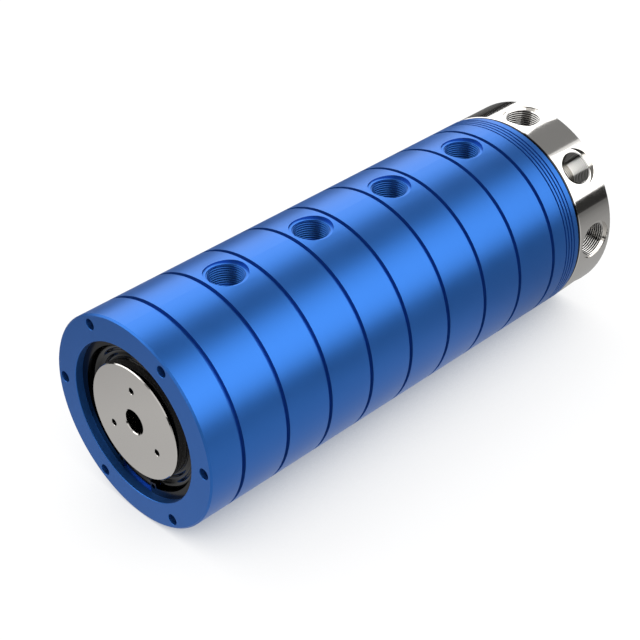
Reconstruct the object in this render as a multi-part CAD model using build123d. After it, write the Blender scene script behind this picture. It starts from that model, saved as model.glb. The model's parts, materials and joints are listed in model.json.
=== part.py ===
"""Four-passage hydraulic rotary union: a bored housing that stands still and a ported shaft that turns in it.

The rotation axis is X, with the origin at the centre of the housing's front face, +X towards the shaft's
flange and +Z up, the way the housing ports point. All lengths are in millimetres, all angles in degrees,
and an angle round the axis is counted from +Z towards -Y.
"""
import os
from math import atan, cos, degrees, radians, sin, sqrt, tan

from build123d import *

# ---- housing, outside
housing_diameter = 130.0
segment_pitch = 32.5  # from one turned groove to the next
segment_count = 8
front_land = 23.0  # from the front face to the first groove
rear_land = 26.0  # from the last groove to the rear end
groove_width = 2.7
groove_depth = 2.5
groove_flank = 0.2  # how far each wall of a turned groove leans in
fine_groove_count = 4
fine_groove_pitch = 2.6
fine_groove_width = 1.1
fine_groove_depth = 1.0
fine_groove_inset = 5.2  # from the last fine groove to the rear end
edge_chamfer = 1.0
mouth_chamfer = 0.3  # on the rim of the front bore

# ---- ports, alike in the housing and in the flange: M22 x 1.5
port_thread_diameter = 22.0
port_thread_depth = 15.0
spotface_diameter = 26.0
spotface_depth = 2.0  # below the crown of the round surface
port_mouth_chamfer = 0.2
port_count = 4
port_angle_step = 45.0  # between the ports on the flange
housing_passage_diameter = 14.0

# ---- passages in the shaft
passage_diameter = 12.0
passage_overrun = 2.0  # how far a passage is drilled past its gallery's outlet
outlet_diameter = 10.0  # radial holes that join a passage to its gallery and to its flange port
passage_wall = 4.0  # between a passage and the floor of the galleries
gallery_width = 12.0  # ring groove that joins a turning passage to its housing port
gallery_depth = 3.5
plug_diameter = 14.0
plug_length = 10.0
plug_inset = 0.5
plug_socket_flats = 6.0
plug_socket_depth = 5.0
centre_bore_diameter = 15.0
centre_bore_chamfer = 0.5

# ---- shaft and flange
journal_diameter = 76.0
journal_step = 2.5  # from one shaft diameter to the next: front seat, journal, rear seat
shaft_setback = 1.5  # shaft end below the housing's front face
shaft_chamfer = 0.5
hub_step = 6.0  # shoulder that carries the rear bearing
flange_setback = 0.25  # flange below the housing's outside
flange_thickness = 32.0
flange_gap = 1.0  # between the housing and the turning flange

# ---- thin-section tapered roller bearings: 71 x 98 x 20 in front and 81 x 108 x 20 behind
bearing_section = 13.5  # from a bearing's bore to its outside
bearing_cone_width = 20.0
bearing_cup_width = 16.0
front_roller_count = 20
rear_roller_count = 22
roller_diameter = 7.0  # at the middle of its length
roller_length = 11.0
roller_tilt = 12.0  # between the roller's own axis and the rotation axis
roller_station = 9.0  # middle of the rollers, from the cup's thick end
large_rib_height = 3.0
small_rib_height = 1.0
cage_thickness = 1.2
cage_offset = 1.2  # middle of the cage wall outside the rollers' centre line
cage_margin = 1.8  # cage left beyond each end of the rollers
front_shoulder_relief = 2.5  # between the front cone and the housing wall behind it
rear_shoulder_relief = 1.25
front_cone_relief = 0.5  # between the front cone and the step up to the journal

# ---- retaining rings
circlip_inset = 5.0  # front circlip below the housing's front face
housing_circlip_thickness = 3.0
housing_circlip_width = 6.2
housing_circlip_depth = 1.75  # of its groove
housing_circlip_gap = 30.0  # opening between the ends, as an angle
housing_circlip_turn = 188.0  # middle of the opening
shaft_circlip_thickness = 2.5
shaft_circlip_width = 6.0
shaft_circlip_depth = 1.5
shaft_circlip_gap = 24.0
circlip_lug_reach = 3.0  # how far a lug stands past the ring's own width
circlip_lug_angle = 7.0
circlip_lug_hole = 3.0

# ---- lip seals that keep dirt out of the bearings
front_seal_width = 10.0
rear_seal_width = 3.4
rear_seal_inset = 0.6  # below the housing's rear end
seal_gap = 0.5  # between a lip seal and what turns beside it
seal_lip_land = 0.8

# ---- pressure seals between the galleries: a sealing ring backed by a rubber energizer
pressure_seal_width = 6.0
seal_ring_height = 2.5
energizer_height = 3.5
energizer_width = 4.6

# ---- tapped holes, drawn at their drilled size
front_hole_count = 6
front_hole_edge = 6.0  # from the housing's outside to a hole's centre
front_hole_diameter = 6.8  # M8
front_hole_depth = 15.0
front_hole_first = 30.0  # angle of the first hole
nose_hole_count = 3
nose_hole_circle = 42.5
nose_hole_diameter = 4.2  # M5
nose_hole_depth = 10.0
flange_hole_count = 8
flange_hole_edge = 15.0
flange_hole_diameter = 6.8  # M8
flange_hole_depth = 16.0
hole_chamfer = 0.2

# ---- clearances
running_clearance = 0.05  # between surfaces that turn past each other, on the radius
lip_clearance = 0.02
roller_clearance = 0.03
pocket_clearance = 0.2
axial_clearance = 0.05

# ---- radii that follow from the sizes above
housing_radius = housing_diameter / 2
flange_radius = housing_radius - flange_setback
journal_radius = journal_diameter / 2
front_seat_radius = journal_radius - journal_step
rear_seat_radius = journal_radius + journal_step
hub_radius = rear_seat_radius + hub_step
front_bore_radius = front_seat_radius + bearing_section
rear_bore_radius = rear_seat_radius + bearing_section
bore_radius = journal_radius + running_clearance
gland_radius = journal_radius + lip_clearance + seal_ring_height + energizer_height
gallery_radius = journal_radius - gallery_depth
passage_circle_radius = gallery_radius - passage_wall - passage_diameter / 2
housing_circlip_radius = front_bore_radius + housing_circlip_depth
shaft_circlip_radius = front_seat_radius - shaft_circlip_depth

# ---- places along the axis that follow from the sizes above
housing_length = front_land + segment_count * segment_pitch + rear_land
flange_front = housing_length + flange_gap
flange_rear = flange_front + flange_thickness
flange_port_x = flange_front + flange_thickness / 2
groove_places = [front_land + segment_pitch * i for i in range(segment_count + 1)]
fine_groove_places = [
    housing_length - fine_groove_inset - fine_groove_pitch * i for i in range(fine_groove_count)
]
port_places = [front_land + segment_pitch * (2 * i + 1.5) for i in range(port_count)]
port_angles = [port_angle_step * i for i in range(port_count)]
front_seal_x = circlip_inset + housing_circlip_thickness
shaft_circlip_x = front_seal_x + front_seal_width + seal_gap
front_cone_x = shaft_circlip_x + shaft_circlip_thickness + axial_clearance
front_cup_seat = front_cone_x + bearing_cone_width
front_wall = front_cup_seat + front_shoulder_relief
rear_seal_x = housing_length - rear_seal_inset - rear_seal_width
hub_x = rear_seal_x - seal_gap
rear_cup_seat = hub_x - bearing_cone_width
rear_wall = rear_cup_seat - rear_shoulder_relief
gallery_ends = [x + side * gallery_width / 2 for x in port_places for side in (-1, 1)]
seal_bounds = [front_wall, *gallery_ends, rear_wall]
seal_places = [(a + b) / 2 for a, b in zip(seal_bounds[::2], seal_bounds[1::2])]


# ---- shapes used throughout
def turned(points):
    """Solid of revolution round the rotation axis from its half section, given as (x, radius)."""
    return revolve(make_face(Polyline([(x, 0, r) for x, r in points], close=True)), axis=Axis.X)


def ring(start, end, inner, outer):
    """Plain ring between two places along the axis."""
    return turned([(start, inner), (end, inner), (end, outer), (start, outer)])


def bar(start, end, diameter):
    """Round bar on the rotation axis."""
    return Pos((start + end) / 2, 0, 0) * Rot(Y=90) * Cylinder(diameter / 2, end - start)


def around(shape, count, radius=0.0, first=0.0):
    """Copies of a shape, moved out by a radius and spaced evenly round the rotation axis."""
    step = 360.0 / count
    return [Rot(X=first + step * i) * Pos(0, 0, radius) * shape for i in range(count)]


def tapped_hole(face, inward, diameter, depth):
    """Cutter for a drilled hole along the axis, opened by a chamfer at its mouth."""
    drill = bar(min(face, face + inward * depth), max(face, face + inward * depth), diameter)
    mouth = Cone(diameter / 2 + hole_chamfer, diameter / 2, hole_chamfer)
    return drill + Pos(face + inward * hole_chamfer / 2, 0, 0) * Rot(Y=90 * inward) * mouth


def port(x, angle, surface_radius, passage, inner_radius):
    """Cutter for a radial port: spotface, threaded bore with a chamfered mouth, and the passage below it."""
    seat = surface_radius - spotface_depth
    thread_radius = port_thread_diameter / 2
    floor = seat - port_thread_depth
    tool = Pos(0, 0, seat + spotface_depth) * Cylinder(spotface_diameter / 2, 2 * spotface_depth)
    tool += Pos(0, 0, (seat + floor) / 2) * Cylinder(thread_radius, seat - floor)
    tool += Pos(0, 0, seat - port_mouth_chamfer / 2) * Cone(
        thread_radius, thread_radius + port_mouth_chamfer, port_mouth_chamfer
    )
    tool += Pos(0, 0, (floor + inner_radius) / 2) * Cylinder(passage / 2, floor - inner_radius)
    return Rot(X=angle) * Pos(x, 0, 0) * tool


# ---- the parts that stand still
def housing():
    front_shoulder = raceway(front_seat_radius, 1, 0)
    rear_shoulder = raceway(rear_seat_radius, 1, 0)
    inside = [
        (0, front_bore_radius + mouth_chamfer),
        (mouth_chamfer, front_bore_radius),
        (circlip_inset, front_bore_radius),
        (circlip_inset, housing_circlip_radius),
        (front_seal_x, housing_circlip_radius),
        (front_seal_x, front_bore_radius),
        (front_cup_seat, front_bore_radius),
        (front_cup_seat, front_shoulder),
        (front_wall, front_shoulder),
        (front_wall, bore_radius),
    ]
    for x in seal_places:
        inside += [
            (x - pressure_seal_width / 2, bore_radius),
            (x - pressure_seal_width / 2, gland_radius),
            (x + pressure_seal_width / 2, gland_radius),
            (x + pressure_seal_width / 2, bore_radius),
        ]
    inside += [
        (rear_wall, bore_radius),
        (rear_wall, rear_shoulder),
        (rear_cup_seat, rear_shoulder),
        (rear_cup_seat, rear_bore_radius),
        (housing_length, rear_bore_radius),
    ]
    outside = [
        (housing_length, housing_radius - edge_chamfer),
        (housing_length - edge_chamfer, housing_radius),
    ]
    grooves = [(x, fine_groove_width, fine_groove_depth) for x in fine_groove_places]
    grooves += [(x, groove_width, groove_depth) for x in reversed(groove_places)]
    for x, width, depth in grooves:
        outside += [
            (x + width / 2, housing_radius),
            (x + width / 2 - groove_flank, housing_radius - depth),
            (x - width / 2 + groove_flank, housing_radius - depth),
            (x - width / 2, housing_radius),
        ]
    outside += [(edge_chamfer, housing_radius), (0, housing_radius - edge_chamfer)]
    body = turned(inside + outside)
    for x in port_places:
        body -= port(x, 0, housing_radius, housing_passage_diameter, gallery_radius)
    screw_hole = tapped_hole(0, 1, front_hole_diameter, front_hole_depth)
    body -= around(screw_hole, front_hole_count, housing_radius - front_hole_edge, front_hole_first)
    return body


def circlip(start, thickness, root, width, outward, gap, turn):
    """Retaining ring whose edge at `root` sits in a groove, with a lug and plier hole at each end."""
    free_edge = root + outward * width
    lug_edge = root + outward * (width + circlip_lug_reach)
    blank = ring(start, start + thickness, min(root, free_edge), max(root, free_edge))
    lug_ring = ring(start, start + thickness, min(root, lug_edge), max(root, lug_edge))
    reach = 4 * max(root, lug_edge)

    def sector(first, last):
        """Wedge between two angles, wide enough to cut the whole ring."""
        middle, half = (first + last) / 2, radians((last - first) / 2)
        tip = Polyline(
            [(0, 0, 0), (0, -reach * tan(half), reach), (0, reach * tan(half), reach)], close=True
        )
        return Rot(X=middle) * Pos(start - 1, 0, 0) * extrude(make_face(tip), thickness + 2, dir=(1, 0, 0))

    lugs = []
    for side in (-1, 1):
        end = turn + side * gap / 2
        far = end + side * circlip_lug_angle
        lug = lug_ring & sector(min(end, far), max(end, far))
        eye = bar(start - 1, start + thickness + 1, circlip_lug_hole)
        eye_radius = lug_edge - outward * (circlip_lug_hole / 2 + 1.0)
        lugs.append(lug - Rot(X=(end + far) / 2) * Pos(0, 0, eye_radius) * eye)
    opened = blank - sector(turn - gap / 2 - circlip_lug_angle, turn + gap / 2 + circlip_lug_angle)
    return opened + lugs


def front_shaft_seal():
    """Rubber lip seal: a stiff outer rim, a dished face and two lips that run on the shaft."""
    rim = front_bore_radius
    lip = front_seat_radius + lip_clearance
    front, rear = front_seal_x, front_seal_x + front_seal_width
    height = rim - lip
    return turned([
        (front, rim),
        (rear, rim),
        (rear, rim - 0.16 * height),
        (front + 0.35 * front_seal_width, rim - 0.18 * height),
        (front + 0.35 * front_seal_width, lip + 0.32 * height),
        (rear - 0.15 * front_seal_width, lip + 0.22 * height),
        (rear - 0.22 * front_seal_width, lip + 0.12 * height),
        (front + 0.62 * front_seal_width, lip),
        (front + 0.62 * front_seal_width - seal_lip_land, lip),
        (front + 0.36 * front_seal_width, lip + 0.16 * height),
        (front + 0.2 * front_seal_width + seal_lip_land, lip),
        (front + 0.2 * front_seal_width, lip),
        (front + 0.08 * front_seal_width, lip + 0.2 * height),
        (front + 0.2 * front_seal_width, lip + 0.34 * height),
        (front + 0.05 * front_seal_width, lip + 0.48 * height),
        (front + 0.1 * front_seal_width, lip + 0.6 * height),
        (front, lip + 0.68 * height),
    ])


def rear_shaft_seal():
    """Lip seal on the flange's hub, pressed into the rear of the housing."""
    rim = rear_bore_radius
    lip = hub_radius + lip_clearance
    front, rear = rear_seal_x, rear_seal_x + rear_seal_width
    middle = (front + rear) / 2
    height = rim - lip
    return turned([
        (front, rim),
        (rear, rim),
        (rear, lip + 0.17 * height),
        (rear - 0.3 * rear_seal_width, lip),
        (rear - 0.3 * rear_seal_width - seal_lip_land, lip),
        (middle, lip + 0.28 * height),
        (front, lip + 0.42 * height),
    ])


def seal_ring(x):
    half = pressure_seal_width / 2 - axial_clearance
    inner = journal_radius + lip_clearance
    return ring(x - half, x + half, inner, inner + seal_ring_height)


def energizer_ring(x):
    """Rubber ring squeezed between the sealing ring and the floor of its groove, round at both sides."""
    inner = gland_radius - energizer_height
    flat = energizer_width / 2 - energizer_height / 4
    bulge = energizer_width / 2
    return turned([
        (x - flat, inner),
        (x + flat, inner),
        (x + bulge, inner + energizer_height / 2),
        (x + flat, gland_radius),
        (x - flat, gland_radius),
        (x - bulge, inner + energizer_height / 2),
    ])


# ---- tapered roller bearings, each given by its bore's radius, the place of its cup's thick end and its way
def pitch_radius(bore):
    return bore + bearing_section / 2


def roller_taper(bore):
    """Half angle of the roller's cone, so that roller, cone and cup share one apex on the axis."""
    apex = pitch_radius(bore) / sin(radians(roller_tilt))
    return degrees(atan(roller_diameter / 2 / apex))


def raceway(bore, side, station):
    """Radius of a raceway at a station from the cup's thick end: side 1 is the cup's, -1 the cone's."""
    angle = radians(roller_tilt + side * roller_taper(bore))
    offset = (roller_diameter / 2 + roller_clearance) / cos(angle)
    return pitch_radius(bore) + side * offset + (station - roller_station) * tan(angle)


def roller(bore, seat, way, extra=0.0):
    """Tapered roller on its own tilted axis, or the cutter for its pocket when it is made larger."""
    tilt = radians(roller_tilt)
    length = roller_length + 2 * extra
    growth = length / 2 * tan(radians(roller_taper(bore)))
    radius = roller_diameter / 2 + extra
    middle = (seat + way * roller_station, 0, pitch_radius(bore))
    frame = Plane(origin=middle, x_dir=(0, 1, 0), z_dir=(way * cos(tilt), 0, sin(tilt)))
    return frame * Cone(radius - growth, radius + growth, length)


def bearing_cup(bore, seat, way):
    outer = bore + bearing_section
    return turned([
        (seat, raceway(bore, 1, 0)),
        (seat + way * bearing_cup_width, raceway(bore, 1, bearing_cup_width)),
        (seat + way * bearing_cup_width, outer),
        (seat, outer),
    ])


def bearing_cone(bore, seat, way):
    """Inner ring: a low rib at the thin end of the rollers and the guiding rib at their thick end."""
    tilt = radians(roller_tilt)
    run = roller_length / 2 * cos(tilt)
    lean = roller_diameter / 2 * sin(tilt)
    thick_end = roller_station + run + lean + 2 * roller_clearance
    thin_end = roller_station - run + lean - small_rib_height * tan(tilt) - 4 * roller_clearance
    low = raceway(bore, -1, thin_end)
    high = raceway(bore, -1, thick_end)
    return turned([
        (seat, bore),
        (seat + way * bearing_cone_width, bore),
        (seat + way * bearing_cone_width, high + large_rib_height),
        (seat + way * thick_end, high + large_rib_height),
        (seat + way * thick_end, high),
        (seat + way * thin_end, low),
        (seat + way * thin_end, low + small_rib_height),
        (seat, low + small_rib_height),
    ])


def bearing_rollers(bore, seat, way, count):
    return Compound(around(roller(bore, seat, way), count))


def bearing_cage(bore, seat, way, count):
    """Cone-shaped cage with one window for each roller."""
    tilt = radians(roller_tilt)
    half = roller_length / 2 + cage_margin
    corners = []
    for along, out in ((-half, -0.5), (half, -0.5), (half, 0.5), (-half, 0.5)):
        across = cage_offset + out * cage_thickness
        station = roller_station + along * cos(tilt) - across * sin(tilt)
        corners.append((seat + way * station, pitch_radius(bore) + along * sin(tilt) + across * cos(tilt)))
    return turned(corners) - around(roller(bore, seat, way, pocket_clearance), count)


# ---- the parts that turn
def shaft():
    """Ported shaft with its flange in one piece."""
    step = front_cup_seat + front_cone_relief
    centre = centre_bore_diameter / 2
    outside = [
        (shaft_setback, centre + centre_bore_chamfer),
        (shaft_setback, front_seat_radius - shaft_chamfer),
        (shaft_setback + shaft_chamfer, front_seat_radius),
        (shaft_circlip_x, front_seat_radius),
        (shaft_circlip_x, shaft_circlip_radius),
        (front_cone_x, shaft_circlip_radius),
        (front_cone_x, front_seat_radius),
        (step, front_seat_radius),
        (step, journal_radius),
    ]
    for x in port_places:
        outside += [
            (x - gallery_width / 2, journal_radius),
            (x - gallery_width / 2, gallery_radius),
            (x + gallery_width / 2, gallery_radius),
            (x + gallery_width / 2, journal_radius),
        ]
    outside += [
        (rear_cup_seat, journal_radius),
        (rear_cup_seat, rear_seat_radius),
        (hub_x, rear_seat_radius),
        (hub_x, hub_radius),
        (flange_front, hub_radius),
        (flange_front, flange_radius - edge_chamfer),
        (flange_front + edge_chamfer, flange_radius),
        (flange_rear - edge_chamfer, flange_radius),
        (flange_rear, flange_radius - edge_chamfer),
        (flange_rear, centre + centre_bore_chamfer),
        (flange_rear - centre_bore_chamfer, centre),
        (shaft_setback + centre_bore_chamfer, centre),
    ]
    body = turned(outside)
    for x, angle in zip(port_places, port_angles):
        body -= passage(x, angle)
        body -= port(flange_port_x, angle, flange_radius, outlet_diameter, passage_circle_radius)
    nose_hole = tapped_hole(shaft_setback, 1, nose_hole_diameter, nose_hole_depth)
    body -= around(nose_hole, nose_hole_count, nose_hole_circle / 2)
    flange_hole = tapped_hole(flange_rear, -1, flange_hole_diameter, flange_hole_depth)
    body -= around(
        flange_hole, flange_hole_count, housing_radius - flange_hole_edge, port_angle_step / 2
    )
    return body


def passage(x, angle):
    """Cutter for one passage: drilled from the flange, turned out to its gallery, and wider for its plug."""
    drill = bar(x - outlet_diameter / 2 - passage_overrun, flange_rear, passage_diameter)
    mouth = bar(flange_rear - plug_inset - plug_length, flange_rear, plug_diameter)
    reach = journal_radius - passage_circle_radius
    outlet = Pos(x, 0, reach / 2) * Cylinder(outlet_diameter / 2, reach)
    return Rot(X=angle) * Pos(0, 0, passage_circle_radius) * (drill + mouth + outlet)


def passage_plug(angle):
    """Screw plug with a hexagon socket that closes the drilled end of a passage."""
    outer = flange_rear - plug_inset
    blank = bar(outer - plug_length, outer, plug_diameter)
    socket = extrude(RegularPolygon(plug_socket_flats / sqrt(3), 6), plug_socket_depth)
    plug = blank - Pos(outer - plug_socket_depth, 0, 0) * Rot(Y=90) * socket
    return Rot(X=angle) * Pos(0, 0, passage_circle_radius) * plug


# ---- the assembly
def sub_parts():
    """Every sub-part by its node name."""
    front = (front_seat_radius, front_cup_seat, -1)
    rear = (rear_seat_radius, rear_cup_seat, 1)
    parts = {
        "housing": housing(),
        "front_seal_circlip": circlip(
            circlip_inset, housing_circlip_thickness, housing_circlip_radius - running_clearance,
            housing_circlip_width, -1, housing_circlip_gap, housing_circlip_turn,
        ),
        "front_shaft_seal": front_shaft_seal(),
        "rear_shaft_seal": rear_shaft_seal(),
        "front_bearing_cup": bearing_cup(*front),
        "rear_bearing_cup": bearing_cup(*rear),
        "shaft": shaft(),
        "shaft_circlip": circlip(
            shaft_circlip_x, shaft_circlip_thickness, shaft_circlip_radius + running_clearance,
            shaft_circlip_width, 1, shaft_circlip_gap, 0,
        ),
        "front_bearing_cone": bearing_cone(*front),
        "rear_bearing_cone": bearing_cone(*rear),
        "front_bearing_rollers": bearing_rollers(*front, front_roller_count),
        "rear_bearing_rollers": bearing_rollers(*rear, rear_roller_count),
        "front_bearing_cage": bearing_cage(*front, front_roller_count),
        "rear_bearing_cage": bearing_cage(*rear, rear_roller_count),
    }
    for number, x in enumerate(seal_places, 1):
        parts[f"seal_ring_{number}"] = seal_ring(x)
        parts[f"energizer_ring_{number}"] = energizer_ring(x)
    for number, angle in enumerate(port_angles, 1):
        parts[f"passage_plug_{number}"] = passage_plug(angle)
    return parts


os.makedirs("parts", exist_ok=True)
for node, shape in sub_parts().items():
    export_step(shape, f"parts/{node}.step")
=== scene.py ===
"""Looks of the hydraulic rotary union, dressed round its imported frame. Metres, +X along the shaft, +Z up."""
import json
from math import cos, hypot, pi, radians, sin

import bmesh
import bpy
from mathutils import Matrix, Quaternion, Vector

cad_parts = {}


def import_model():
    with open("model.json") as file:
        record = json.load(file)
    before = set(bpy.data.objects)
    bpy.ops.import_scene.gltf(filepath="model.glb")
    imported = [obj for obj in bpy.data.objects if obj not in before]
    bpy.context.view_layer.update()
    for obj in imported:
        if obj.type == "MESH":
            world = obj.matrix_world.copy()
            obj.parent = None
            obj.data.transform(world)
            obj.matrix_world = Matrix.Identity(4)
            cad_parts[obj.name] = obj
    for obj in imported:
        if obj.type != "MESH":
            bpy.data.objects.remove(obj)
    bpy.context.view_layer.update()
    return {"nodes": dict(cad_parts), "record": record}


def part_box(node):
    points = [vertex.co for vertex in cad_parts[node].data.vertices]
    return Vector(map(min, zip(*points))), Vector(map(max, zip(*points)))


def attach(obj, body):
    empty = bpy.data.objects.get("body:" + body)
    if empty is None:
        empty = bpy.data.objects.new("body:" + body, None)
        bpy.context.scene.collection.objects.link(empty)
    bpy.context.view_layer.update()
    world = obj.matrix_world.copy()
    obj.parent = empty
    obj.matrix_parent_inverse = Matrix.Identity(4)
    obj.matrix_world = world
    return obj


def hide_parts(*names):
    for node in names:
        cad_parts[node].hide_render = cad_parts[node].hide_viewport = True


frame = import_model()
mounts = {mount["name"]: mount for mount in frame["record"]["mounts"]}
housing_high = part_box("housing")[1]
shaft_low, shaft_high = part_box("shaft")
housing_radius = housing_high.z
housing_length = housing_high.x

MM = 0.001

# ---- camera, aimed at the rotation axis a little before the middle
CAMERA_HEADING = 44.606  # from +Y towards +X
CAMERA_ELEVATION = 35.470
CAMERA_ROLL = -0.203
CAMERA_DISTANCE = 0.93376
CAMERA_AIM = Vector((0.14031, -0.00344, 0))
CAMERA_LENS = 88.774
CAMERA_SENSOR = 36.0

# ---- port threads, M22 x 1.5
THREAD_PITCH = 1.5 * MM
THREAD_HEIGHT = 0.42 * MM
THREAD_CREST = 0.38  # width of the ridge's flat top, of the pitch
THREAD_FOOT = 0.90  # width of its foot, of the pitch
THREAD_BITE = 0.03 * MM  # how far the foot sits inside the wall
THREAD_STEPS = 72  # round one turn
THREAD_RUN_OUT = 0.98  # extra length of the ridge before its ends are cut off flat, of its foot's width

# ---- front shaft seal
SEAL_FOLDS = 2
SEAL_FOLD_DEPTH = 1.8 * MM
SEAL_DISH = 2.0 * MM  # how much further back the face lies at the lip than at the rim
SEAL_FACE_POINTS = 40  # across the face
SEAL_LIP_WIDTH = 3.0 * MM  # from the lip's rear edge to the rear of the seal
SEAL_LIP_BEVEL = 2.0 * MM
SEAL_CLEARANCE = 0.02 * MM  # between the lip and the shaft
SEAL_SIDES = 160

# ---- steel edges
FLANGE_GAP = 1.0 * MM  # between the housing and the flange
GAP_SHADE = (0.5 * MM, 0.8 * MM)  # depth from the flange's front at which the painted shade in the gap ends
REAR_EDGE_SHADE = (1.3 * MM, 0.9 * MM)  # depth from the flange's rear and rim at which its painted darker edge line starts

# ---- studio
SOFTBOX_LENGTH = 5.0
SOFTBOXES = (  # name, angle round the axis, distance, width, radiance
    ("rear_softbox", -48.5, 2.0, 2.36, 1.32),
    ("rear_softbox_core", -44, 1.98, 1.40, 0.45),
    ("front_softbox", 49.5, 2.0, 2.32, 1.18),
    ("front_softbox_core", 52, 1.98, 1.30, 0.75),
)
SURROUND = 1.9  # distance of the card, the skirting and the mat's rim
CARD_ANGLE = -0.8
CARD_WIDTH = 1.21
CARD_LENGTH = 6.0
CARD_SHADE = 0.26
SKIRTING_TOP = 0.27
SKIRTING_SHADE = 0.03
MAT_RISE = 0.5 * MM  # over the floor
# painted reflection: (distance from the object, shade) of the floor as metal shows it
MAT_STOPS = ((0.05, 0.40), (0.09, 0.43), (0.14, 0.41), (0.26, 0.38), (0.50, 0.28), (1.0, 0.18))
MAT_LIFT = 1.85  # how much brighter the mat is along the front of the housing than beside the flange
MAT_BEHIND = 0.5  # how bright the mat is behind the object, against in front of it
FLOOR_SIZE = 6.0
FLOOR_SHADE = 0.80
SHADOW_REACH = 0.4
SHADOW_POWER = 2.5
WORLD_LIGHT = 0.35
RING_SIDES = 64


# ---- node helpers
class Nodes:
    """Short calls for building one tree's nodes."""

    def __init__(self, tree):
        self.tree = tree

    def add(self, kind, **settings):
        node = self.tree.nodes.new(kind)
        for key, value in settings.items():
            setattr(node, key, value)
        return node

    def link(self, source, target):
        self.tree.links.new(source, target)

    def put(self, socket, value):
        """Set a socket to a value, or link it to another socket."""
        if isinstance(value, bpy.types.NodeSocket):
            self.link(value, socket)
        else:
            socket.default_value = value

    def math(self, operation, first, second=0.0):
        node = self.add("ShaderNodeMath", operation=operation)
        self.put(node.inputs[0], first)
        self.put(node.inputs[1], second)
        return node.outputs[0]

    def vector(self, operation, first, second=(0, 0, 0)):
        node = self.add("ShaderNodeVectorMath", operation=operation)
        self.put(node.inputs[0], first)
        self.put(node.inputs[1], second)
        return node.outputs["Value"] if operation == "LENGTH" else node.outputs[0]

    def step(self, value, low, high):
        """0 below low and 1 above high, smooth between."""
        node = self.add("ShaderNodeMapRange", interpolation_type="SMOOTHSTEP")
        self.put(node.inputs["Value"], value)
        node.inputs["From Min"].default_value = low
        node.inputs["From Max"].default_value = high
        return node.outputs[0]

    def mix(self, factor, first, second):
        node = self.add("ShaderNodeMix", data_type="RGBA")
        self.put(node.inputs["Factor"], factor)
        self.put(node.inputs["A"], first)
        self.put(node.inputs["B"], second)
        return node.outputs["Result"]

    def blend(self, factor, first, second):
        """Number between two numbers."""
        node = self.add("ShaderNodeMix", data_type="FLOAT")
        self.put(node.inputs["Factor"], factor)
        self.put(node.inputs["A"], first)
        self.put(node.inputs["B"], second)
        return node.outputs["Result"]

    def noise(self, coordinates, scale, detail=2.0):
        node = self.add("ShaderNodeTexNoise")
        self.put(node.inputs["Vector"], coordinates)
        node.inputs["Scale"].default_value = scale
        node.inputs["Detail"].default_value = detail
        return node.outputs["Fac"]

    def parts(self, coordinates):
        """Sockets of the x, y and z of coordinates."""
        split = self.add("ShaderNodeSeparateXYZ")
        self.link(coordinates, split.inputs[0])
        return split.outputs

    def place(self):
        """The object's own coordinates."""
        return self.add("ShaderNodeTexCoord").outputs["Object"]


class Material(Nodes):
    """Nodes of a new material, with its shader and output."""

    def __init__(self, name):
        self.material = bpy.data.materials.new(name)
        self.material.use_nodes = True
        super().__init__(self.material.node_tree)
        self.shader = self.tree.nodes["Principled BSDF"]
        self.output = self.tree.nodes["Material Output"]


def colour(red, green, blue):
    return (red, green, blue, 1.0)


def grey(shade):
    return (shade, shade, shade, 1.0)


def assign(material, *nodes):
    for name in nodes:
        slots = frame["nodes"][name].data.materials
        slots.clear()
        slots.append(material)


def nodes_named(*ends):
    return [name for name in frame["nodes"] if name.endswith(ends)]


def nodes_starting(start):
    return [name for name in frame["nodes"] if name.startswith(start)]


def turned_place(n):
    """The object's coordinates, distance along the axis and distance from it."""
    place = n.place()
    along = n.parts(place)["X"]
    radius = n.vector("LENGTH", n.vector("MULTIPLY", place, (0, 1, 1)))
    return place, along, radius


def lathe_lines(n, along, radius, scale, strength, distance):
    """Bump of fine rings left by a turning tool, the same all the way round."""
    rings = n.add("ShaderNodeCombineXYZ")
    n.link(along, rings.inputs["X"])
    n.link(radius, rings.inputs["Y"])
    height = n.noise(rings.outputs[0], scale, 3.0)
    bump = n.add("ShaderNodeBump")
    bump.inputs["Strength"].default_value = strength
    bump.inputs["Distance"].default_value = distance
    n.link(height, bump.inputs["Height"])
    return bump.outputs[0]


# ---- materials
def blue_anodised():
    """Satin blue anodised aluminium with a faint cloud in its colour and sheen, and fine turning rings."""
    n = Material("blue_anodised_aluminium")
    place, along, radius = turned_place(n)
    cloud = n.noise(place, 38.0, 4.0)
    base = n.mix(cloud, colour(0.026, 0.118, 0.40), colour(0.030, 0.132, 0.44))
    n.put(n.shader.inputs["Base Color"], base)
    n.shader.inputs["Metallic"].default_value = 0.85
    n.shader.inputs["Specular IOR Level"].default_value = 0.0
    n.put(n.shader.inputs["Roughness"], n.blend(cloud, 0.34, 0.40))
    n.link(lathe_lines(n, along, radius, 2600.0, 0.06, 0.02 * MM), n.shader.inputs["Normal"])
    return n.material


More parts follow.
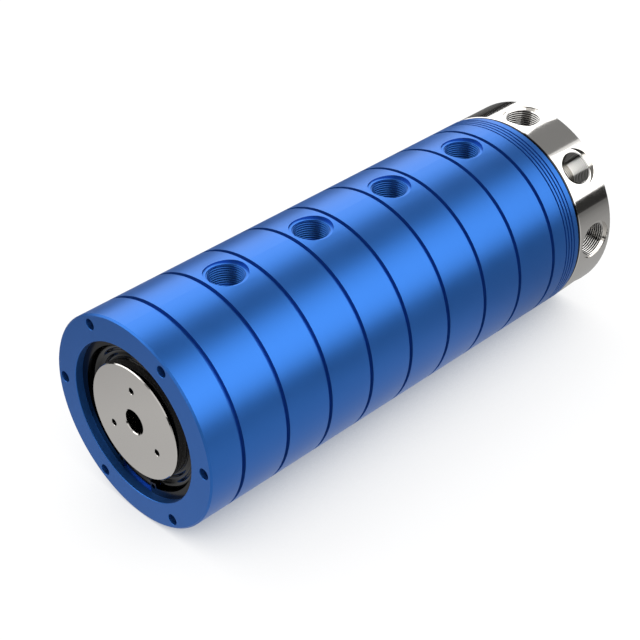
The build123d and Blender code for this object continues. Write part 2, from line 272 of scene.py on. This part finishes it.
def stainless():
    """Polished stainless steel with painted light: paler on the flange than on the nose as a lit copy of the
    same steel, painted shade on the flange's front face in the gap, and a painted darker line along its rear
    edge.
    """
    n = Material("stainless_steel")
    place, along, radius = turned_place(n)
    cloud = n.noise(place, 60.0, 4.0)
    # painted light: the flange's steel is made paler than the nose's, though both are the same polished steel
    flange = n.step(along, 0.8 * housing_length, 0.9 * housing_length)
    base = n.mix(flange, colour(0.55, 0.53, 0.505), colour(0.74, 0.72, 0.69))
    # painted shade: the flange's front face in the gap is painted near black
    flange_front = housing_length + FLANGE_GAP
    past_housing = n.step(along, 0.98 * housing_length, 0.99 * housing_length)
    past_gap = n.step(along, flange_front + GAP_SHADE[0], flange_front + GAP_SHADE[1])
    gap_shade = n.math("MULTIPLY", past_housing, n.math("SUBTRACT", 1.0, past_gap))
    base = n.mix(gap_shade, base, colour(0.015, 0.015, 0.018))
    # painted shade: a darker line along the flange's rear edge, in place of the chamfer's shading
    near_rear = n.step(along, shaft_high.x - REAR_EDGE_SHADE[0], shaft_high.x - REAR_EDGE_SHADE[1])
    near_rim = n.step(radius, shaft_high.z - REAR_EDGE_SHADE[0], shaft_high.z - REAR_EDGE_SHADE[1])
    base = n.mix(n.math("MULTIPLY", near_rear, near_rim), base, grey(0.22))
    stain = n.math("MULTIPLY", cloud, 0.08)
    n.put(n.shader.inputs["Base Color"], n.mix(stain, base, colour(0.40, 0.39, 0.38)))
    n.shader.inputs["Metallic"].default_value = 1.0
    n.put(n.shader.inputs["Roughness"], n.blend(cloud, 0.07, 0.10))
    n.link(lathe_lines(n, along, radius, 3200.0, 0.10, 0.01 * MM), n.shader.inputs["Normal"])
    return n.material


def cut_thread(name, crest, root, roughness, metallic):
    """Metal of a cut thread, with painted light and shade: one colour on its crests and another in its roots.
    """
    n = Material(name)
    place = n.place()
    radius = n.vector("LENGTH", n.vector("MULTIPLY", place, (1, 1, 0)))
    wall = mounts["port_1"]["dims"]["r_mm"] * MM
    # mask of the painted light and shade, 0 on the crests and 1 towards the roots
    depth = n.step(radius, wall - 0.95 * THREAD_HEIGHT, wall - 0.5 * THREAD_HEIGHT)
    cloud = n.noise(place, 300.0, 3.0)
    n.put(n.shader.inputs["Base Color"], n.mix(depth, colour(*crest), colour(*root)))
    n.shader.inputs["Metallic"].default_value = metallic
    n.shader.inputs["Specular IOR Level"].default_value = 0.0
    n.put(n.shader.inputs["Roughness"], n.blend(cloud, roughness - 0.03, roughness + 0.03))
    return n.material


def plain_metal(name, low, high, roughness):
    """Metal whose colour and roughness drift a little."""
    n = Material(name)
    place, along, radius = turned_place(n)
    cloud = n.noise(place, 70.0, 4.0)
    n.put(n.shader.inputs["Base Color"], n.mix(cloud, colour(*low), colour(*high)))
    n.shader.inputs["Metallic"].default_value = 1.0
    n.put(n.shader.inputs["Roughness"], n.blend(cloud, roughness - 0.04, roughness + 0.06))
    n.link(lathe_lines(n, along, radius, 2400.0, 0.08, 0.01 * MM), n.shader.inputs["Normal"])
    return n.material


def moulded(name, low, high, roughness, specular=0.5):
    """Rubber or plastic from a mould, with a very fine grain."""
    n = Material(name)
    place = n.place()
    cloud = n.noise(place, 90.0, 3.0)
    n.put(n.shader.inputs["Base Color"], n.mix(cloud, colour(*low), colour(*high)))
    n.put(n.shader.inputs["Roughness"], n.blend(cloud, roughness - 0.05, roughness + 0.05))
    n.shader.inputs["Specular IOR Level"].default_value = specular
    bump = n.add("ShaderNodeBump")
    bump.inputs["Strength"].default_value = 0.05
    bump.inputs["Distance"].default_value = 0.01 * MM
    n.link(n.noise(place, 2500.0), bump.inputs["Height"])
    n.link(bump.outputs[0], n.shader.inputs["Normal"])
    return n.material


def dress_nodes():
    """Give every CAD node its material, and put the moulded face in the front seal's place."""
    assign(blue_anodised(), "housing")
    assign(stainless(), "shaft")
    spring = plain_metal("black_spring_steel", (0.006, 0.006, 0.007), (0.014, 0.014, 0.016), 0.20)
    assign(spring, "front_seal_circlip", "shaft_circlip")
    seal = moulded("seal_rubber", (0.003, 0.003, 0.0035), (0.005, 0.005, 0.0055), 0.11, 0.28)
    assign(seal, "rear_shaft_seal")
    front_seal_face(seal)
    bearing = plain_metal("bearing_steel", (0.52, 0.52, 0.53), (0.60, 0.60, 0.61), 0.18)
    assign(bearing, *nodes_named("_cup", "_cone", "_rollers"))
    cage = plain_metal("pressed_cage_steel", (0.38, 0.38, 0.39), (0.46, 0.46, 0.47), 0.36)
    assign(cage, *nodes_named("_cage"))
    plug = plain_metal("plug_steel", (0.34, 0.34, 0.35), (0.42, 0.42, 0.43), 0.32)
    assign(plug, *nodes_starting("passage_plug"))
    ptfe = moulded("filled_ptfe", (0.16, 0.11, 0.06), (0.24, 0.17, 0.10), 0.45)
    assign(ptfe, *nodes_starting("seal_ring"))
    rubber = moulded("energizer_rubber", (0.012, 0.012, 0.012), (0.02, 0.02, 0.02), 0.5)
    assign(rubber, *nodes_starting("energizer_ring"))


# ---- pieces of the scene's own
def shown(name, data, material, body, placing=Matrix()):
    """New piece of the object from a mesh, put in its place and riding on a body."""
    data.materials.append(material)
    piece = bpy.data.objects.new(name, data)
    bpy.context.scene.collection.objects.link(piece)
    piece.matrix_world = placing
    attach(piece, body)
    return piece


def front_seal_face(material):
    """Front lip seal with rounder folds in its face than the solid's."""
    low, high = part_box("front_shaft_seal")
    front, rear, rim = low.x, high.x, high.z
    lip = shaft_nose_radius() + SEAL_CLEARANCE
    face = []
    for i in range(SEAL_FACE_POINTS + 1):
        share = i / SEAL_FACE_POINTS
        dip = SEAL_FOLD_DEPTH * (1 - cos(2 * pi * SEAL_FOLDS * share)) / 2
        face.append((front + dip + SEAL_DISH * share ** 3, rim + (lip - rim) * share))
    profile = [(rear, rim)] + face + [(rear - SEAL_LIP_WIDTH, lip), (rear, lip + SEAL_LIP_BEVEL)]
    piece = shown("front_seal_face", lathed("front_seal_face", profile), material, "housing")
    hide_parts("front_shaft_seal")


def shaft_nose_radius():
    """Radius of the shaft's end, from the points of its mesh near the front."""
    points = [vertex.co for vertex in frame["nodes"]["shaft"].data.vertices]
    return max(hypot(point.y, point.z) for point in points if point.x < shaft_low.x + 3 * MM)


def lathed(name, profile):
    """Mesh of a closed ring, turned round the rotation axis from a closed profile of (along, radius)."""
    count = len(profile)
    points = []
    for i in range(SEAL_SIDES):
        turn = 2 * pi * i / SEAL_SIDES
        points += [(x, radius * cos(turn), radius * sin(turn)) for x, radius in profile]
    faces = []
    for i in range(SEAL_SIDES):
        first, second = i * count, (i + 1) % SEAL_SIDES * count
        for a in range(count):
            b = (a + 1) % count
            faces.append((first + a, second + a, second + b, first + b))
    data = bpy.data.meshes.new(name)
    data.from_pydata(points, [], faces)
    mesh = bmesh.new()
    mesh.from_mesh(data)
    bmesh.ops.recalc_face_normals(mesh, faces=mesh.faces)
    mesh.to_mesh(data)
    mesh.free()
    for face in data.polygons:
        face.use_smooth = True
    data.set_sharp_from_angle(angle=radians(35))
    return data


def thread(name, mount, material, body):
    """Helical ridge that stands on the wall of a threaded port, cut off flat at both ends of the bore."""
    wall = mount["dims"]["r_mm"] * MM
    length = mount["dims"]["length_mm"] * MM
    turns = length / THREAD_PITCH + THREAD_RUN_OUT * THREAD_FOOT
    count = int(turns * THREAD_STEPS)
    foot, crest = wall + THREAD_BITE, wall - THREAD_HEIGHT
    section = (
        (foot, -THREAD_FOOT / 2),
        (crest, -THREAD_CREST / 2),
        (crest, THREAD_CREST / 2),
        (foot, THREAD_FOOT / 2),
    )
    mesh = bmesh.new()
    loops = []
    for i in range(count + 1):
        turn = (i / count - 0.5) * turns
        angle = 2 * pi * turn
        heights = [max(-length / 2, min(length / 2, (turn + z) * THREAD_PITCH)) for radius, z in section]
        loops.append([
            mesh.verts.new((radius * cos(angle), radius * sin(angle), height))
            for (radius, z), height in zip(section, heights)
        ])
    for first, second in zip(loops, loops[1:]):
        for a in range(4):
            b = (a + 1) % 4
            mesh.faces.new((first[a], second[a], second[b], first[b]))
    mesh.faces.new(loops[0])
    mesh.faces.new(list(reversed(loops[-1])))
    bmesh.ops.recalc_face_normals(mesh, faces=mesh.faces)
    data = bpy.data.meshes.new(name)
    mesh.to_mesh(data)
    mesh.free()
    axis = Vector(mount["axis"]).normalized()
    turned = axis.to_track_quat("Z", "Y").to_matrix().to_4x4()
    shown(name, data, material, body, Matrix.Translation(Vector(mount["pos_m"])) @ turned)


def make_threads():
    # painted shade: the blue thread's roots are painted darker, and the steel thread's crests are painted near
    # black
    blue = cut_thread("blue_thread", (0.034, 0.15, 0.50), (0.012, 0.055, 0.20), 0.30, 0.85)
    steel = cut_thread("steel_thread", (0.05, 0.05, 0.048), (0.60, 0.59, 0.57), 0.10, 1.0)
    for number in range(1, 5):
        port = f"port_{number}"
        thread(f"port_thread_{number}", mounts[port], blue, "housing")
        thread(f"flange_port_thread_{number}", mounts["flange_" + port], steel, "shaft")


# ---- studio
def outward(angle):
    """Direction at an angle round the axis, 0 up and growing towards -Y."""
    return Vector((0, -sin(radians(angle)), cos(radians(angle))))


def softbox(name, angle, distance, width, radiance, centre):
    """Long soft light parallel to the object, at an angle round its axis."""
    lamp = bpy.data.lights.new(name, "AREA")
    lamp.shape = "RECTANGLE"
    lamp.size = SOFTBOX_LENGTH
    lamp.size_y = width
    lamp.energy = radiance * pi * width * SOFTBOX_LENGTH
    light = bpy.data.objects.new(name, lamp)
    bpy.context.scene.collection.objects.link(light)
    out = outward(angle)
    across = Vector((1, 0, 0))
    turn = Matrix((across, out.cross(across), out)).transposed().to_4x4()
    light.matrix_world = Matrix.Translation(centre + out * distance) @ turn
    light.visible_camera = False


def reflected(name, corners, faces, paint):
    """Piece of the studio that only reflections see. paint(n) gives its brightness."""
    data = bpy.data.meshes.new(name)
    data.from_pydata(corners, [], faces)
    piece = bpy.data.objects.new(name, data)
    bpy.context.scene.collection.objects.link(piece)
    n = Material(name)
    n.tree.nodes.remove(n.shader)
    glow = n.add("ShaderNodeEmission")
    n.put(glow.inputs["Strength"], paint(n))
    n.link(glow.outputs[0], n.output.inputs["Surface"])
    data.materials.append(n.material)
    piece.visible_camera = False
    piece.visible_diffuse = False
    piece.visible_shadow = False


def ring(radius, centre, height):
    """Points of a level circle round a centre."""
    turns = [2 * pi * i / RING_SIDES for i in range(RING_SIDES)]
    return [(centre.x + radius * cos(turn), radius * sin(turn), height) for turn in turns]


def overhead_card(centre):
    """Flat card parallel to the object, over it between the softboxes."""
    out = outward(CARD_ANGLE)
    side = out.cross(Vector((1, 0, 0))) * CARD_WIDTH / 2
    along = Vector((CARD_LENGTH / 2, 0, 0))
    place = centre + out * SURROUND
    corners = [place - along - side, place + along - side, place + along + side, place - along + side]
    reflected("overhead_card", [tuple(corner) for corner in corners], [(0, 1, 2, 3)], lambda n: CARD_SHADE)


def skirting(centre):
    """Low dark wall all round the floor."""
    corners = ring(SURROUND, centre, -housing_radius) + ring(SURROUND, centre, SKIRTING_TOP)
    faces = []
    for i in range(RING_SIDES):
        after = (i + 1) % RING_SIDES
        faces.append((i, after, RING_SIDES + after, RING_SIDES + i))
    reflected("skirting", corners, faces, lambda n: SKIRTING_SHADE)


def floor_mat(centre):
    """Glowing disc just over the floor, which metal shows in place of the floor: a painted reflection of the
    floor, with painted shade near the object.
    """
    corners = ring(SURROUND, centre, MAT_RISE - housing_radius)
    reflected("floor_mat", corners, [tuple(range(RING_SIDES))], painted_floor_reflection)


def painted_floor_reflection(n):
    """Brightness of the floor as metal shows it, a painted reflection with painted shade: paler beside the
    housing, darker beside the flange, falling off far away.
    """
    place = n.parts(n.place())
    middle = housing_length / 2
    from_middle = n.math("ABSOLUTE", n.math("SUBTRACT", place["X"], middle))
    beyond = n.math("MAXIMUM", n.math("SUBTRACT", from_middle, middle), 0.0)
    squares = n.math("ADD", n.math("POWER", beyond, 2.0), n.math("POWER", place["Y"], 2.0))
    away = n.math("SQRT", squares)
    ramp = n.add("ShaderNodeValToRGB")
    n.link(away, ramp.inputs["Fac"])
    elements = ramp.color_ramp.elements
    while len(elements) < len(MAT_STOPS):
        elements.new(0.5)
    for element, (position, shade) in zip(elements, MAT_STOPS):
        element.position = position
        element.color = grey(shade)
    to_flange = n.step(place["X"], 0.7 * housing_length, 1.15 * housing_length)
    lift = n.blend(to_flange, MAT_LIFT, 1.0)
    behind = n.blend(n.step(place["Y"], -0.05, 0.35), 1.0, MAT_BEHIND)
    return n.math("MULTIPLY", ramp.outputs["Color"], n.math("MULTIPLY", lift, behind))


def seen_directly(n):
    """1 for rays that should see the plain white background: camera, glossy and transmission rays."""
    path = n.add("ShaderNodeLightPath")
    glossy = n.math("MAXIMUM", path.outputs["Is Camera Ray"], path.outputs["Is Glossy Ray"])
    return n.math("MAXIMUM", glossy, path.outputs["Is Transmission Ray"])


def floor():
    """Plain pale floor that runs out to white. For seen rays a faint diffuse part keeps the object's real
    shadow, and its glow carries a painted contact shadow, darkened by ambient occlusion and tinted blue.
    """
    height = -housing_radius
    corners = [(x * FLOOR_SIZE, y * FLOOR_SIZE, height) for x, y in ((-1, -1), (1, -1), (1, 1), (-1, 1))]
    data = bpy.data.meshes.new("floor")
    data.from_pydata(corners, [], [(0, 1, 2, 3)])
    piece = bpy.data.objects.new("floor", data)
    bpy.context.scene.collection.objects.link(piece)
    n = Material("floor")
    n.tree.nodes.remove(n.shader)
    lighting = n.add("ShaderNodeBsdfDiffuse")
    lighting.inputs["Color"].default_value = grey(FLOOR_SHADE)
    seen = n.add("ShaderNodeBsdfDiffuse")
    seen.inputs["Color"].default_value = grey(0.12)
    white = n.add("ShaderNodeEmission")
    # painted shadow: the glow darkens and turns blue where ambient occlusion finds the object near
    around = n.add("ShaderNodeAmbientOcclusion")
    around.inputs["Distance"].default_value = SHADOW_REACH
    painted_shadow = n.math("POWER", n.math("SUBTRACT", 1.0, around.outputs["AO"]), SHADOW_POWER)
    n.put(white.inputs["Color"], n.mix(painted_shadow, grey(0.90), colour(0.01, 0.05, 0.13)))
    both = n.add("ShaderNodeAddShader")
    n.link(seen.outputs[0], both.inputs[0])
    n.link(white.outputs[0], both.inputs[1])
    pick = n.add("ShaderNodeMixShader")
    n.link(seen_directly(n), pick.inputs[0])
    n.link(lighting.outputs[0], pick.inputs[1])
    n.link(both.outputs[0], pick.inputs[2])
    n.link(pick.outputs[0], n.output.inputs["Surface"])
    data.materials.append(n.material)


def world():
    """White where it is seen, and a soft grey light everywhere else."""
    surroundings = bpy.data.worlds.new("studio")
    bpy.context.scene.world = surroundings
    surroundings.use_nodes = True
    n = Nodes(surroundings.node_tree)
    background = n.tree.nodes["Background"]
    background.inputs["Color"].default_value = grey(1.0)
    n.put(background.inputs["Strength"], n.blend(seen_directly(n), WORLD_LIGHT, 1.0))


def studio():
    centre = Vector((housing_length / 2, 0, 0))
    for name, angle, distance, width, radiance in SOFTBOXES:
        softbox(name, angle, distance, width, radiance, centre)
    overhead_card(centre)
    skirting(centre)
    floor_mat(centre)
    floor()
    world()
    bpy.context.scene.view_settings.view_transform = "Standard"


def camera():
    heading, elevation = radians(CAMERA_HEADING), radians(CAMERA_ELEVATION)
    look = Vector((sin(heading) * cos(elevation), cos(heading) * cos(elevation), -sin(elevation)))
    data = bpy.data.cameras.new("camera")
    data.lens = CAMERA_LENS
    data.sensor_width = CAMERA_SENSOR
    piece = bpy.data.objects.new("camera", data)
    bpy.context.scene.collection.objects.link(piece)
    piece.location = CAMERA_AIM - look * CAMERA_DISTANCE
    level = look.to_track_quat("-Z", "Y")
    roll = Quaternion((0, 0, 1), radians(CAMERA_ROLL))
    piece.rotation_euler = (level @ roll).to_euler()
    bpy.context.scene.camera = piece


dress_nodes()
make_threads()
studio()
camera()
